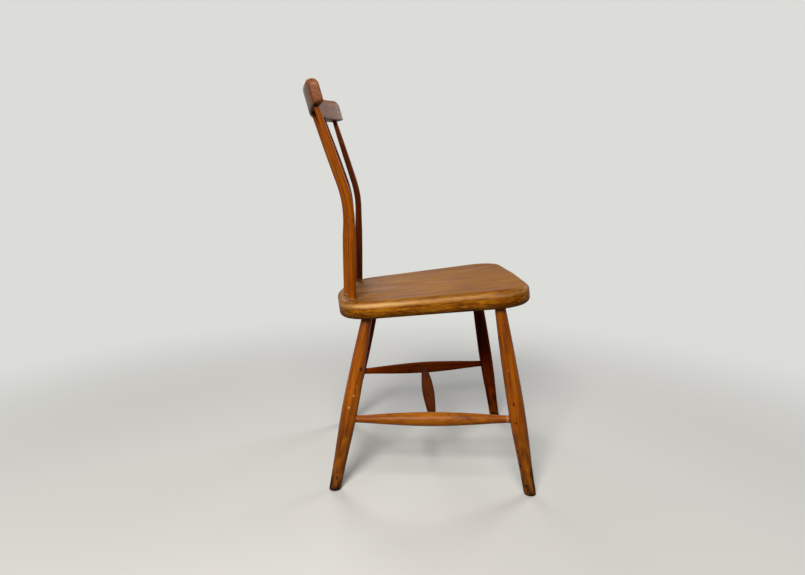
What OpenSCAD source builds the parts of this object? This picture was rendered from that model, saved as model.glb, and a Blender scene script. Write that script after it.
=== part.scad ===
// Stick-back wooden chair: a rounded plank seat, four splayed turned legs tied
// by an H of stretchers, five bent back sticks and a curved crest rail.
// Millimetres. x is the chair's width, y runs toward the back and z is up.
// The origin is on the floor, at the middle of the ground that the chair covers.
// The modules work from the middle of the four feet, and placed() moves to it.

/* [Seat] */
// Height of the top face at the middle of the seat
seat_height = 445; // [380:1:520]
// Slope of the seat down toward the back, in degrees
seat_tilt = 6.2; // [0:0.1:9]
// Thickness of the plank
seat_thickness = 41; // [34:0.5:50]
// Width at the front corners
seat_front_width = 474; // [380:1:580]
// Width at the rear corners
seat_rear_width = 394; // [320:1:500]
// Distance between the front and the rear corner lines
seat_depth = 427; // [350:1:520]
// Corner radius at the front
seat_front_corner = 72; // [40:1:100]
// Corner radius at the rear
seat_rear_corner = 92; // [50:1:130]
// How far the middle of the front edge stands ahead of its corners
seat_front_bow = 4; // [2:0.5:15]
// How far the middle of the rear edge stands behind its corners
seat_rear_bow = 11; // [2:0.5:15]
// Rounding of the upper edge
seat_top_round = 12; // [3:0.5:15]
// Rounding of the lower edge
seat_under_round = 13; // [2:0.5:16]

/* [Legs] */
// Distance from the seat's side at its front corners in to a front leg's centre
front_inset = 34; // [28:0.5:80]
// Distance from the seat's side at its rear corners in to a rear leg's centre
rear_inset = 44.5; // [36:0.5:80]
// Distance from the seat's front and rear corner lines in to the leg centres
end_inset = 69.5; // [60:0.5:100]
// How far a front foot stands outside the top of its leg
front_splay = 25; // [0:0.5:60]
// How far a rear foot stands outside the top of its leg
rear_splay = 44.5; // [0:0.5:60]
// How far each foot stands ahead of or behind the top of its leg
leg_rake = 74; // [30:0.5:90]
// How far the top of the left rear leg was bored ahead of its twin
leg_drift = 14; // [0:0.5:16]
// Thickest diameter
leg_thick = 36; // [30:0.5:44]
// Distance up the leg from the floor to its thickest place
leg_swell = 190; // [120:1:260]
// Diameter at the floor
leg_foot = 26.5; // [20:0.5:34]
// Diameter where the leg enters the seat
leg_top = 24; // [18:0.5:30]
// Length held in the seat
leg_tenon = 25; // [14:0.5:30]
// Softened edge of the foot
foot_chamfer = 2; // [0.5:0.5:4]

/* [Stretchers] */
// Height of the side stretchers at the front legs
side_front_height = 171; // [110:1:240]
// Height of the side stretchers at the rear legs
side_rear_height = 159; // [110:1:240]
// Thickest diameter of a side stretcher
side_thick = 31; // [24:0.5:38]
// Diameter of its ends
side_end = 16.5; // [12:0.5:20]
// Distance of the cross stretcher ahead of the middle of the side stretchers
cross_forward = 2; // [-40:1:40]
// Thickest diameter of the cross stretcher
cross_thick = 30; // [24:0.5:36]
// Diameter of its ends
cross_end = 17; // [12:0.5:19]
// Straight length of a stretcher end outside the piece that holds it
end_straight = 6; // [2:0.5:15]

/* [Back sticks] */
// Number of sticks
stick_count = 5; // [4:1:6]
// Distance from the seat's side at its rear corners in to an outer stick
stick_inset = 49; // [42:0.5:70]
// Distance from the seat's rear corner line in to an outer stick
stick_margin = 36.5; // [32:0.5:60]
// How far the middle of the row stands behind the outer sticks at the seat
row_sag = 21; // [0:0.5:24]
// Thickest diameter, below the bend
stick_thick = 19.5; // [14:0.5:22]
// Height of the thickest place above the middle of the seat
swell_rise = 110; // [60:1:135]
// Diameter through the bend
stick_bend = 16; // [12:0.5:20]
// Diameter where a stick enters the seat
stick_base = 18; // [11:0.5:20]
// Diameter where a stick enters the crest rail
stick_top = 11.5; // [8:0.5:14]
// Height at which the right outer stick's bend begins above the middle of the seat
bend_rise = 149; // [145:1:230]
// How much higher the left outer stick was bent, with those between in steps
bend_climb = 24; // [0:1:30]
// Radius of the bend
bend_radius = 250; // [150:5:400]
// Length held in the seat
stick_tenon = 24; // [14:0.5:28]
// Straight length of a stick above the seat
base_straight = 8; // [4:0.5:20]

/* [Crest rail] */
// How far the sticks enter behind the middle of the board's thickness
stick_set = 2.5; // [0:0.5:3]
// How far the rail runs past the outer stick centres
rail_overhang = 21; // [14:0.5:40]
// Height of the board, measured along its slope
rail_height = 54; // [45:0.5:90]
// Thickness of the board
rail_thick = 22; // [20:0.5:26]
// Radius of the curve in plan, at the middle of the thickness
rail_curve = 450; // [300:5:900]
// Height of the lower edge, at the middle, above the middle of the seat
rail_rise = 394; // [360:1:440]
// Distance of the lower edge, at the middle, behind the foot of the outer sticks
rail_sweep = 88; // [60:0.5:120]
// Lean of the board, in degrees
rail_lean = 15.5; // [8:0.5:26]
// How far an old back has racked: turn of the rail about the upright, in degrees
rail_turn = 2.4; // [0:0.1:4]
// Radius of the upper corners, seen from the front
rail_top_corner = 14; // [4:0.5:24]
// Radius of the lower corners, seen from the front
rail_low_corner = 2.5; // [2:0.5:12]
// Rounding of the upper edge in front
rail_front_edge = 12; // [2:0.5:12]
// Rounding of the upper edge behind
rail_back_edge = 6; // [2:0.5:6]
// Rounding of the lower long edges
rail_low_edge = 2; // [0.5:0.5:4]
// Length of a stick held in the rail
rail_tenon = 24; // [14:0.5:34]

/* [Fits] */
// Gap around a turned end in its hole
fit_gap = 0.1; // [0.05:0.05:0.3]
// Gap between a turned end and the bottom of its hole
end_gap = 0.3; // [0.1:0.1:1]
// Softened rim of the stick holes in the seat
rim_ease = 0.6; // [0.4:0.1:1.5]

/* [Hidden] */
seat_colour = "#9a5f33";
turned_colour = "#8a470f";
stick_colour = "#94501a";
rail_colour = "#8c5c40";
far = 60;
bend_step = 0.1;
step_count = 12;
seat_drop = tan(seat_tilt);
seat_cross = seat_thickness / cos(seat_tilt);
// Where the legs stand
front_socket_spread = seat_front_width - 2 * front_inset;
rear_socket_spread = seat_rear_width - 2 * rear_inset;
socket_depth = seat_depth - 2 * end_inset;
front_foot_spread = front_socket_spread + 2 * front_splay;
rear_foot_spread = rear_socket_spread + 2 * rear_splay;
foot_depth = socket_depth + 2 * leg_rake;
// Where the back stands
stick_spread = seat_rear_width - 2 * stick_inset;
stick_setback = seat_depth / 2 - stick_margin;
swell_height = seat_height + swell_rise;
rail_length = stick_spread + 2 * rail_overhang;
rail_low = seat_height + rail_rise;
rail_back = stick_setback + rail_sweep;
// How far the chair reaches behind and ahead of the middle of its feet
rear_reach = rail_back + rail_back_edge
    + (rail_height - rail_back_edge) * sin(rail_lean)
    + (rail_thick / 2 - rail_back_edge) * cos(rail_lean);
front_reach = foot_depth / 2 + leg_foot / 2;
origin_back = (rear_reach - front_reach) / 2;
function seat_top(y) = seat_height - y * seat_drop;
function seat_under(y) = seat_top(y) - seat_cross;

// The ends of a leg's centre line: s is -1 or 1 for the side, f is -1 at the front
function foot(s, f) =
    [s * (f < 0 ? front_foot_spread : rear_foot_spread) / 2, f * foot_depth / 2, 0];
function socket_y(s, f) =
    f * socket_depth / 2 - (s > 0 && f > 0 ? leg_drift : 0);
function socket(s, f) =
    [s * (f < 0 ? front_socket_spread : rear_socket_spread) / 2,
     socket_y(s, f), seat_under(socket_y(s, f))];
function unit(v) = v / norm(v);
function leg_at(s, f, z) =
    foot(s, f) + (socket(s, f) - foot(s, f)) * z / socket(s, f)[2];
function side_from(s) = leg_at(s, 1, side_rear_height);
function side_to(s) = leg_at(s, -1, side_front_height);
function side_middle(s) =
    (side_from(s) + side_to(s)) / 2
    + unit(side_to(s) - side_from(s)) * cross_forward;

// A place in the crest rail, stick_set behind the middle of its thickness; the
// middle of its length stands furthest back
function rail_point(x, up) =
    let (fwd = rail_curve - sqrt(pow(rail_curve + stick_set, 2) - x * x),
         y = up * sin(rail_lean) - fwd * cos(rail_lean))
    [x * cos(rail_turn) + y * sin(rail_turn),
     rail_back + y * cos(rail_turn) - x * sin(rail_turn),
     rail_low + fwd * sin(rail_lean) + up * cos(rail_lean)];

// Each stick stands upright on the seat, bends and runs straight to its goal,
// which lies at half the depth of its socket in the rail
stick_half = stick_spread / 2;
function stick_x(i) = -stick_half + stick_spread * i / (stick_count - 1);
function stick_y(i) =
    stick_setback + row_sag * (1 - pow(stick_x(i) / stick_half, 2));
function bend_height(i) =
    seat_height + bend_rise + bend_climb * i / (stick_count - 1);
function stick_goal(i) = rail_point(stick_x(i), rail_tenon / 2);
function stick_reach(i) =
    norm([stick_goal(i)[0] - stick_x(i), stick_goal(i)[1] - stick_y(i)]);
function stick_way(i) =
    -atan2(stick_goal(i)[0] - stick_x(i), stick_goal(i)[1] - stick_y(i));
function bend_angle(i) =
    let (a = bend_radius - stick_reach(i),
         b = stick_goal(i)[2] - bend_height(i))
    atan2(b, a) - acos(bend_radius / sqrt(a * a + b * b));
// The end of the bend in the stick's own upright plane: [back, up]
function bend_end(i) =
    [bend_radius * (1 - cos(bend_angle(i))),
     bend_height(i) + bend_radius * sin(bend_angle(i))];
// The direction of its upper part
function stick_aim(i) =
    [-sin(bend_angle(i)) * sin(stick_way(i)),
     sin(bend_angle(i)) * cos(stick_way(i)), cos(bend_angle(i))];

$fn = 48;

// Moves from the middle of the feet to the part's own origin
module placed() {
    translate([0, -origin_back, 0])
        children();
}

// Stands the children on p with their z axis toward q
module along(p, q) {
    v = q - p;
    translate(p)
    rotate([0, acos(v[2] / norm(v)), atan2(v[1], v[0])])
        children();
}

// One rounded corner disc of the seat, its top at z = 0
module seat_disc(x, y, r) {
    n = 5;
    translate([x, y, 0])
    rotate_extrude($fn = 40)
    polygon(concat(
        [[0, 0]],
        [for (k = [0:n]) [r - seat_top_round * (1 - sin(90 * k / n)),
                          -seat_top_round * (1 - cos(90 * k / n))]],
        [for (k = [0:n]) [r - seat_under_round * (1 - cos(90 * k / n)),
                          -seat_thickness + seat_under_round
                          * (1 - sin(90 * k / n))]],
        [[0, -seat_thickness]]));
}

// A leg: s is its side and f is -1 at the front
module leg(s, f) {
    p = foot(s, f);
    q = socket(s, f);
    len = norm(q - p);
    n = step_count;
    top = len - 8;
    difference() {
        intersection() {
            along(p, q)
            rotate_extrude()
            polygon(concat(
                [[0, -12], [leg_foot / 2, -12]],
                [for (k = [0:n]) let (t = k / n)
                    [leg_foot / 2 + (leg_thick - leg_foot) / 2
                     * (1 - cos(180 * t)) / 2, leg_swell * t]],
                [for (k = [1:n]) let (t = k / n)
                    [leg_top / 2 + (leg_thick - leg_top) / 2 * cos(90 * t),
                     leg_swell + (top - leg_swell) * t]],
                [[leg_top / 2, len + leg_tenon - 1],
                 [leg_top / 2 - 1, len + leg_tenon],
                 [0, len + leg_tenon]]));
            translate([p[0], p[1], 0])
                cylinder(h = 600, r1 = leg_foot / 2 - foot_chamfer / 2,
                         r2 = leg_foot / 2 - foot_chamfer / 2 + 600);
        }
        // Socket of the side stretcher
        if (f < 0)
            along(side_to(s), side_from(s))
                cylinder(h = far, r = side_end / 2 + fit_gap);
        else
            along(side_from(s), side_to(s))
                cylinder(h = far, r = side_end / 2 + fit_gap);
    }
}

// A turned stretcher between two centre lines
module spindle(p, q, hold_p, hold_q, thick, end) {
    len = norm(q - p);
    n = 2 * step_count;
    a = hold_p + end_straight;
    b = len - hold_q - end_straight;
    along(p, q)
    rotate_extrude()
    polygon(concat(
        [[0, end_gap], [end / 2, end_gap]],
        [for (k = [0:n]) let (t = k / n)
            [end / 2 + (thick - end) / 2 * pow(sin(180 * t), 1.2),
             a + (b - a) * t]],
        [[end / 2, len - end_gap], [0, len - end_gap]]));
}

module side_stretcher(s) {
    difference() {
        spindle(side_from(s), side_to(s), leg_thick / 2, leg_thick / 2,
                side_thick, side_end);
        along(side_middle(s), side_middle(-s))
            cylinder(h = far, r = cross_end / 2 + fit_gap);
    }
}

module back_stick(i) {
    z0 = seat_top(stick_y(i));
    n = step_count;
    a = bend_angle(i);
    h = bend_height(i);
    e = bend_end(i);
    up = norm([stick_reach(i) - e[0], stick_goal(i)[2] - e[1]]);
    end = up + rail_tenon / 2;
    soft = 1;
    // The bend runs a little way into both straight parts
    lap = 0.4;
    translate([stick_x(i), stick_y(i), 0])
    rotate([0, 0, stick_way(i)]) {
        translate([0, 0, z0])
        rotate_extrude($fn = 32)
        polygon(concat(
            [[0, -stick_tenon], [stick_base / 2 - soft, -stick_tenon],
             [stick_base / 2, soft - stick_tenon]],
            [for (k = [0:n]) let (t = k / n)
                [stick_base / 2 + (stick_thick - stick_base) / 2 * sin(90 * t),
                 base_straight + (swell_height - z0 - base_straight) * t]],
            [for (k = [1:n]) let (t = k / n)
                [stick_bend / 2 + (stick_thick - stick_bend) / 2
                 * (1 + cos(180 * t)) / 2,
                 swell_height - z0 + (h - swell_height) * t]],
            [[0, h - z0]]));
        translate([0, bend_radius, h])
        rotate([90, 0, -90])
        rotate([0, 0, -lap])
        rotate_extrude(angle = a + 2 * lap, $fn = 160)
        translate([bend_radius, 0])
            circle(d = stick_bend - bend_step, $fn = 32);
        translate([0, e[0], e[1]])
        rotate([-a, 0, 0])
        rotate_extrude($fn = 32)
        polygon(concat(
            [[0, 0]],
            [for (k = [0:n]) let (t = k / n)
                [stick_top / 2 + (stick_bend - stick_top) / 2 * cos(90 * t),
                 (up - rail_tenon / 2 - 4) * t]],
            [[stick_top / 2, end - soft], [stick_top / 2 - soft, end],
             [0, end]]));
    }
}

module seat() {
    color(seat_colour)
    placed()
    difference() {
        translate([0, 0, seat_height])
        rotate([-seat_tilt, 0, 0])
        hull() {
            for (s = [-1, 1]) {
                seat_disc(s * (seat_front_width / 2 - seat_front_corner),
                          seat_front_corner - seat_depth / 2,
                          seat_front_corner);
                seat_disc(s * (seat_rear_width / 2 - seat_rear_corner),
                          seat_depth / 2 - seat_rear_corner,
                          seat_rear_corner);
            }
            front_r = seat_rear_width / 2;
            seat_disc(0, front_r - seat_front_bow - seat_depth / 2, front_r);
            rear_r = seat_rear_width / 2 - 8;
            seat_disc(0, seat_depth / 2 + seat_rear_bow - rear_r, rear_r);
        }
        // Leg sockets, from below
        for (s = [-1, 1], f = [-1, 1]) {
            q = socket(s, f);
            w = unit(q - foot(s, f));
            along(q - w * far, q)
                cylinder(h = far + leg_tenon + end_gap,
                         r = leg_top / 2 + fit_gap);
        }
        // Stick sockets, from above
        for (i = [0:stick_count - 1])
            translate([stick_x(i), stick_y(i),
                       seat_top(stick_y(i)) - stick_tenon - end_gap])
                cylinder(h = far, r = stick_base / 2 + fit_gap);
        // Their softened rims, square to the seat
        for (i = [0:stick_count - 1])
            translate([stick_x(i), stick_y(i), seat_top(stick_y(i))])
            rotate([-seat_tilt, 0, 0])
            translate([0, 0, -rim_ease / 2])
                cylinder(h = rim_ease, r1 = stick_base / 2 + fit_gap + rim_ease / 2,
                         r2 = stick_base / 2 + fit_gap + 3 * rim_ease / 2);
    }
}

module leg_front_left() { color(turned_colour) placed() leg(1, -1); }
module leg_front_right() { color(turned_colour) placed() leg(-1, -1); }
module leg_rear_left() { color(turned_colour) placed() leg(1, 1); }
module leg_rear_right() { color(turned_colour) placed() leg(-1, 1); }
module side_stretcher_left() { color(turned_colour) placed() side_stretcher(1); }
module side_stretcher_right() { color(turned_colour) placed() side_stretcher(-1); }

module cross_stretcher() {
    color(turned_colour)
    placed()
        spindle(side_middle(-1), side_middle(1), side_thick / 2,
                side_thick / 2, cross_thick, cross_end);
}

module back_stick_1() { color(stick_colour) placed() back_stick(0); }
module back_stick_2() { color(stick_colour) placed() back_stick(1); }
module back_stick_3() { color(stick_colour) placed() back_stick(2); }
module back_stick_4() { color(stick_colour) placed() back_stick(3); }
module back_stick_5() { color(stick_colour) placed() back_stick(4); }

// The board in its own frame: bottom middle at the origin, curve centre ahead
module rail_board() {
    r = rail_curve;
    h = rail_height;
    e = rail_front_edge;
    b = rail_back_edge;
    u = rail_low_edge;
    w = rail_length / 2;
    n = 6;
    span = asin(w / (r - rail_thick / 2)) + 2;
    intersection() {
        translate([0, -r, 0])
        rotate([0, 0, 90 - span])
        rotate_extrude(angle = 2 * span, $fn = 300)
        translate([r - rail_thick / 2, 0])
        polygon(concat(
            [for (k = [0:n]) [e - e * cos(90 * k / n), h - e + e * sin(90 * k / n)]],
            [for (k = [0:n]) [rail_thick - b + b * sin(90 * k / n),
                              h - b + b * cos(90 * k / n)]],
            [[rail_thick, u], [rail_thick - u * 0.3, u * 0.3], [rail_thick - u, 0],
             [u, 0], [u * 0.3, u * 0.3], [0, u]]));
        union() {
            translate([rail_top_corner - w, -2 * far, -1])
                cube([rail_length - 2 * rail_top_corner, 3 * far, h + 2]);
            translate([-w, -2 * far, rail_low_corner])
                cube([rail_length, 3 * far, h - rail_low_corner - rail_top_corner]);
            for (s = [-1, 1]) {
                translate([s * (w - rail_top_corner), far, h - rail_top_corner])
                rotate([90, 0, 0])
                    cylinder(h = 3 * far, r = rail_top_corner);
                translate([s * (w - rail_low_corner), far, rail_low_corner])
                rotate([90, 0, 0])
                    cylinder(h = 3 * far, r = rail_low_corner);
            }
        }
    }
}

module crest_rail() {
    color(rail_colour)
    placed()
    difference() {
        translate([0, rail_back, rail_low])
        rotate([-rail_lean, 0, -rail_turn])
            rail_board();
        for (i = [0:stick_count - 1]) {
            g = stick_goal(i);
            along(g - stick_aim(i) * far, g)
                cylinder(h = far + rail_tenon / 2 + end_gap,
                         r = stick_top / 2 + fit_gap);
        }
    }
}

seat();
leg_front_left();
leg_front_right();
leg_rear_left();
leg_rear_right();
side_stretcher_left();
side_stretcher_right();
cross_stretcher();
back_stick_1();
back_stick_2();
back_stick_3();
back_stick_4();
back_stick_5();
crest_rail();
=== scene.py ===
# %% [markdown]
# # A worn stick-back chair, dressed in Blender
# The real chair is a plain farmhouse one: a thick rounded plank, four splayed
# turned legs tied by an H of stretchers, five bent back sticks and a curved crest
# rail. It was stained orange brown and varnished long ago, and use has worn it.
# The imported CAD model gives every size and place. This script gives each solid a
# finer mesh of the same shape, with softened edges, small dents and a wood finish
# made of nodes. All sizes are millimetres until a piece is done, because that is
# how a joiner would measure them.

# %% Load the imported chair
import math
import random

import bmesh
import bpy
from mathutils import Matrix, Vector, noise


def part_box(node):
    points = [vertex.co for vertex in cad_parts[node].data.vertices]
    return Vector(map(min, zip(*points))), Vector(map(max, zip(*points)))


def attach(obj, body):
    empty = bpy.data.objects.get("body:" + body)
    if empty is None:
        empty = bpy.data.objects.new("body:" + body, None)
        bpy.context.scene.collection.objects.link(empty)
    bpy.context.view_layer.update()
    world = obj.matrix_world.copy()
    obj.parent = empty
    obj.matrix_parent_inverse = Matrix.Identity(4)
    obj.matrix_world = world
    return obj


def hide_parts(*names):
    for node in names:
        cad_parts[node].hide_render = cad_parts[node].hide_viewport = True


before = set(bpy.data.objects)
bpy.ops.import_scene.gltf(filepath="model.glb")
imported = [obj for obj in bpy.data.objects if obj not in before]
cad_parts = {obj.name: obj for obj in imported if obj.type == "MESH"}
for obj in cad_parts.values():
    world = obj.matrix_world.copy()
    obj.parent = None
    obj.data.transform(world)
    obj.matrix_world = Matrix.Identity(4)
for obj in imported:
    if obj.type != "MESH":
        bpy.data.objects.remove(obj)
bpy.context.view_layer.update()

# %% [markdown]
# ## The camera
# A camera is made first, so that every later choice can be judged from one place.
# It stands a metre and a half from the chair's right side, a little above the
# seat and behind its middle, and looks across the seat and slightly down. A short
# lens gives the wide, close look of a small room.

# %% Camera
camera_data = bpy.data.cameras.new("side_camera")
camera_data.sensor_width = 36.0
camera_data.lens = 26.607
camera = bpy.data.objects.new("side_camera", camera_data)
bpy.context.scene.collection.objects.link(camera)
bpy.context.scene.camera = camera
CAMERA_PLACE = Vector((-1.4573029, 0.0615801, 0.6632358))
CAMERA_YAW, CAMERA_PITCH, CAMERA_ROLL = -0.0194, 0.1589, 0.0013
forward = Vector((math.cos(CAMERA_PITCH) * math.cos(CAMERA_YAW),
                  math.cos(CAMERA_PITCH) * math.sin(CAMERA_YAW),
                  -math.sin(CAMERA_PITCH)))
right = forward.cross(Vector((0, 0, 1))).normalized()
aim = Matrix((right, right.cross(forward), -forward)).transposed()
aim = aim @ Matrix.Rotation(CAMERA_ROLL, 3, "Z")
camera.matrix_world = Matrix.Translation(CAMERA_PLACE) @ aim.to_4x4()
print("camera looks along", [round(v, 3) for v in forward])

# %% [markdown]
# ## Sizes
# These are the CAD model's driving sizes in millimetres, written once, with the
# same sums behind them. The sums work from the middle of the four feet, with x
# across the chair, y toward its back and z up, and a finished piece is moved back
# by ORIGIN_BACK so that it lies in the frame of the imported model.

# %% Driving sizes
SEAT_HEIGHT, SEAT_TILT, SEAT_THICKNESS = 445.0, math.radians(6.2), 41.0
SEAT_FRONT_WIDTH, SEAT_REAR_WIDTH, SEAT_DEPTH = 474.0, 394.0, 427.0
SEAT_FRONT_CORNER, SEAT_REAR_CORNER = 72.0, 92.0
SEAT_FRONT_BOW, SEAT_REAR_BOW = 4.0, 11.0
SEAT_TOP_ROUND, SEAT_UNDER_ROUND = 12.0, 13.0
REAR_BOW_EASE = 8.0  # how much tighter the rear edge is bowed than the front one
FRONT_INSET, REAR_INSET, END_INSET = 34.0, 44.5, 69.5
FRONT_SPLAY, REAR_SPLAY, LEG_RAKE, LEG_DRIFT = 25.0, 44.5, 74.0, 14.0
LEG_THICK, LEG_SWELL, LEG_FOOT, LEG_TOP, LEG_TENON = 36.0, 190.0, 26.5, 24.0, 25.0
LEG_STRAIGHT, LEG_SPARE = 8.0, 12.0  # under the seat, and below the floor until cut
SIDE_FRONT_HEIGHT, SIDE_REAR_HEIGHT = 171.0, 159.0
SIDE_THICK, SIDE_END, CROSS_THICK, CROSS_END = 31.0, 16.5, 30.0, 17.0
CROSS_FORWARD, END_STRAIGHT, END_GAP = 2.0, 6.0, 0.3
STICK_COUNT, STICK_INSET, STICK_MARGIN, ROW_SAG = 5, 49.0, 36.5, 21.0
STICK_THICK, STICK_BEND, STICK_BASE, STICK_TOP = 19.5, 16.0, 18.0, 11.5
SWELL_RISE, BEND_RISE, BEND_CLIMB, BEND_RADIUS = 110.0, 149.0, 24.0, 250.0
STICK_TENON, BASE_STRAIGHT, TOP_STRAIGHT, STICK_SET = 24.0, 8.0, 4.0, 2.5
RAIL_OVERHANG, RAIL_HEIGHT, RAIL_THICK, RAIL_CURVE = 21.0, 54.0, 22.0, 450.0
RAIL_RISE, RAIL_SWEEP, RAIL_TENON = 394.0, 88.0, 24.0
RAIL_LEAN, RAIL_TURN = math.radians(15.5), math.radians(2.4)
RAIL_TOP_CORNER, RAIL_LOW_CORNER = 14.0, 2.5
RAIL_FRONT_EDGE, RAIL_BACK_EDGE, RAIL_LOW_EDGE = 12.0, 6.0, 2.0

front_socket_spread = SEAT_FRONT_WIDTH - 2 * FRONT_INSET
rear_socket_spread = SEAT_REAR_WIDTH - 2 * REAR_INSET
socket_depth = SEAT_DEPTH - 2 * END_INSET
foot_depth = socket_depth + 2 * LEG_RAKE
stick_half = SEAT_REAR_WIDTH / 2 - STICK_INSET
stick_setback = SEAT_DEPTH / 2 - STICK_MARGIN
rail_low = SEAT_HEIGHT + RAIL_RISE
rail_back = stick_setback + RAIL_SWEEP
rail_half = stick_half + RAIL_OVERHANG
rear_reach = (rail_back + RAIL_BACK_EDGE
              + (RAIL_HEIGHT - RAIL_BACK_EDGE) * math.sin(RAIL_LEAN)
              + (RAIL_THICK / 2 - RAIL_BACK_EDGE) * math.cos(RAIL_LEAN))
ORIGIN_BACK = (rear_reach - foot_depth / 2 - LEG_FOOT / 2) / 2
print("origin moved back by", round(ORIGIN_BACK, 3), "mm")


# %% Heights of the seat's two faces
def seat_top(y):
    return SEAT_HEIGHT - y * math.tan(SEAT_TILT)


def seat_under(y):
    return seat_top(y) - SEAT_THICKNESS / math.cos(SEAT_TILT)


print("seat top at the front and back corners:",
      round(seat_top(-SEAT_DEPTH / 2), 1), round(seat_top(SEAT_DEPTH / 2), 1))


# %% [markdown]
# ## How a piece is finished
# Every piece ends the same way. Its mesh is taken to metres with the object left
# at the origin, its normals are turned outward, and it is measured against the
# CAD solid that it stands for. Two kinds of data are kept on the vertices for the
# materials: "wood" is where the vertex lay in the straight board or blank, in
# millimetres with z along the grain, so that the grain bends with a bent stick,
# and "nick", "pale", "worn" and the dirt mark say how much of each kind of wear
# is there. The pale mark also paints a highlight on the seat's edge, and the dirt
# mark also paints shade.

# %% Finish one piece
MARKS = ("nick", "pale", "worn", "dirt_and_shade")
SHARP_ANGLE = math.radians(48)
piece_triangles = {}


def mark_layers(bm):
    layers = {name: bm.verts.layers.float.new(name) for name in MARKS}
    layers["wood"] = bm.verts.layers.float_vector.new("wood")
    return layers


def move(bm, matrix):
    bmesh.ops.transform(bm, verts=bm.verts, space=Matrix.Identity(4), matrix=matrix)


def finish_piece(bm, name, node, material):
    move(bm, Matrix.Scale(0.001, 4) @ Matrix.Translation((0, -ORIGIN_BACK, 0)))
    bmesh.ops.recalc_face_normals(bm, faces=bm.faces)
    mesh = bpy.data.meshes.new(name)
    bm.to_mesh(mesh)
    bm.free()
    mesh.polygons.foreach_set("use_smooth", [True] * len(mesh.polygons))
    mesh.set_sharp_from_angle(angle=SHARP_ANGLE)
    mesh.materials.append(material)
    piece = bpy.data.objects.new(name, mesh)
    bpy.context.scene.collection.objects.link(piece)
    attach(piece, "root")
    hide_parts(node)
    low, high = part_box(node)
    points = [v.co for v in mesh.vertices]
    off = max(max(abs(min(p[i] for p in points) - low[i]),
                  abs(max(p[i] for p in points) - high[i])) for i in range(3))
    mesh.calc_loop_triangles()
    piece_triangles[name] = len(mesh.loop_triangles)
    print(f"{name}: {piece_triangles[name]} triangles, "
          f"box within {off * 1000:.2f} mm of its solid")


# %% [markdown]
# ## Turned work
# Legs, stretchers and sticks come off a lathe, so one profile of vertices spun
# through a full turn makes each of them, as the lathe did. A hand-held gouge and
# a century of use leave no surface perfectly round, so the vertices are then
# moved a few tenths of a millimetre by slow noise, which makes the highlights
# waver. The wood coordinates are stored while the blank is still straight.

# %% Spin a profile, then place it
LEG_SIDES, STRETCHER_SIDES, STICK_SIDES = 96, 64, 48


def turn(profile, sides):
    bm = bmesh.new()
    wire = [bm.verts.new((radius, 0, height)) for radius, height in profile]
    edges = [bm.edges.new(pair) for pair in zip(wire, wire[1:])]
    bmesh.ops.spin(bm, geom=wire + edges, cent=(0, 0, 0), axis=(0, 0, 1),
                   dvec=(0, 0, 0), angle=2 * math.pi, steps=sides,
                   use_merge=True, use_duplicate=False)
    bmesh.ops.remove_doubles(bm, verts=bm.verts, dist=0.001)
    return bm


def stations(start, stop, step):
    count = max(1, round((stop - start) / step))
    return [start + (stop - start) * k / count for k in range(count + 1)]


def along(start, stop):
    line = stop - start
    return (Matrix.Translation(start)
            @ Matrix.Rotation(math.atan2(line.y, line.x), 4, "Z")
            @ Matrix.Rotation(math.acos(line.z / line.length), 4, "Y"))


def waver(point, size, amount, seed):
    return amount * noise.noise(Vector((point.x / size + seed, point.y / size,
                                        point.z / (3 * size))))


def push_out(vert, amount):
    # Only the turned surface: what lies on the lathe's axis stays there
    radius = math.hypot(vert.co.x, vert.co.y)
    if radius > 1:
        vert.co.x *= 1 + amount / radius
        vert.co.y *= 1 + amount / radius


def grain_place(vert, steps, seed):
    # Each blank was cut from another place in the tree
    return tuple(c + step * seed for c, step in zip(vert.co, steps))


print("stations of a 10 mm length:", stations(0, 10, 2.5))


# %% [markdown]
# ## Dents
# A dent is a small bowl pushed into the surface: a height along the piece, an
# angle round it, a depth and a reach along and across. Where the varnish broke,
# dirt settled, so the same bowl also writes how dark it is. A pale chip is the
# same thing where the stain came away with the splinter.

# %% Press dents into a turned blank
def press_dents(bm, layers, dents):
    for vert in bm.verts:
        radius = math.hypot(vert.co.x, vert.co.y)
        if radius < 1:
            continue
        angle = math.degrees(math.atan2(vert.co.y, vert.co.x))
        for height, turned, depth, reach, width, kind, strength in dents:
            rise = (vert.co.z - height) / reach
            if abs(rise) >= 1:
                continue
            swing = (angle - turned + 180) % 360 - 180
            swing = math.radians(swing) * radius / width
            away = rise * rise + swing * swing
            if away >= 1:
                continue
            bowl = (1 - away) ** 2
            shrink = 1 - depth * bowl / radius
            vert.co.x *= shrink
            vert.co.y *= shrink
            vert[layers[kind]] = max(vert[layers[kind]], strength * min(1, 1.6 * bowl))


NICK_SHARE = 0.88  # the other small dents are pale chips


def small_dents(seed, count, low, high, toward_low=1.0):
    chance = random.Random(seed)
    dents = []
    for _ in range(count):
        height = low + (high - low) * chance.random() ** toward_low
        kind = "nick" if chance.random() < NICK_SHARE else "pale"
        dents.append((height, chance.uniform(-180, 180), chance.uniform(0.15, 0.6),
                      chance.uniform(2.5, 6), chance.uniform(1.6, 3.2), kind,
                      chance.uniform(0.15, 0.5) * (1 if kind == "nick" else 0.5)))
    return dents


print("dents of a worn foot:", len(small_dents(1, 30, 0, 200)))

# %% [markdown]
# ## Colour
# A maker picks colours as they look on a screen, but light adds up in linear
# numbers, so one function turns an sRGB hex value into a linear colour. Nodes
# are added by one small helper, which takes the node's settings and its links.

# %% Colour and node helpers
def linear(hex_colour):
    values = [int(hex_colour[i:i + 2], 16) / 255 for i in (1, 3, 5)]
    return [v / 12.92 if v <= 0.04045 else ((v + 0.055) / 1.055) ** 2.4
            for v in values] + [1.0]


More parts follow.
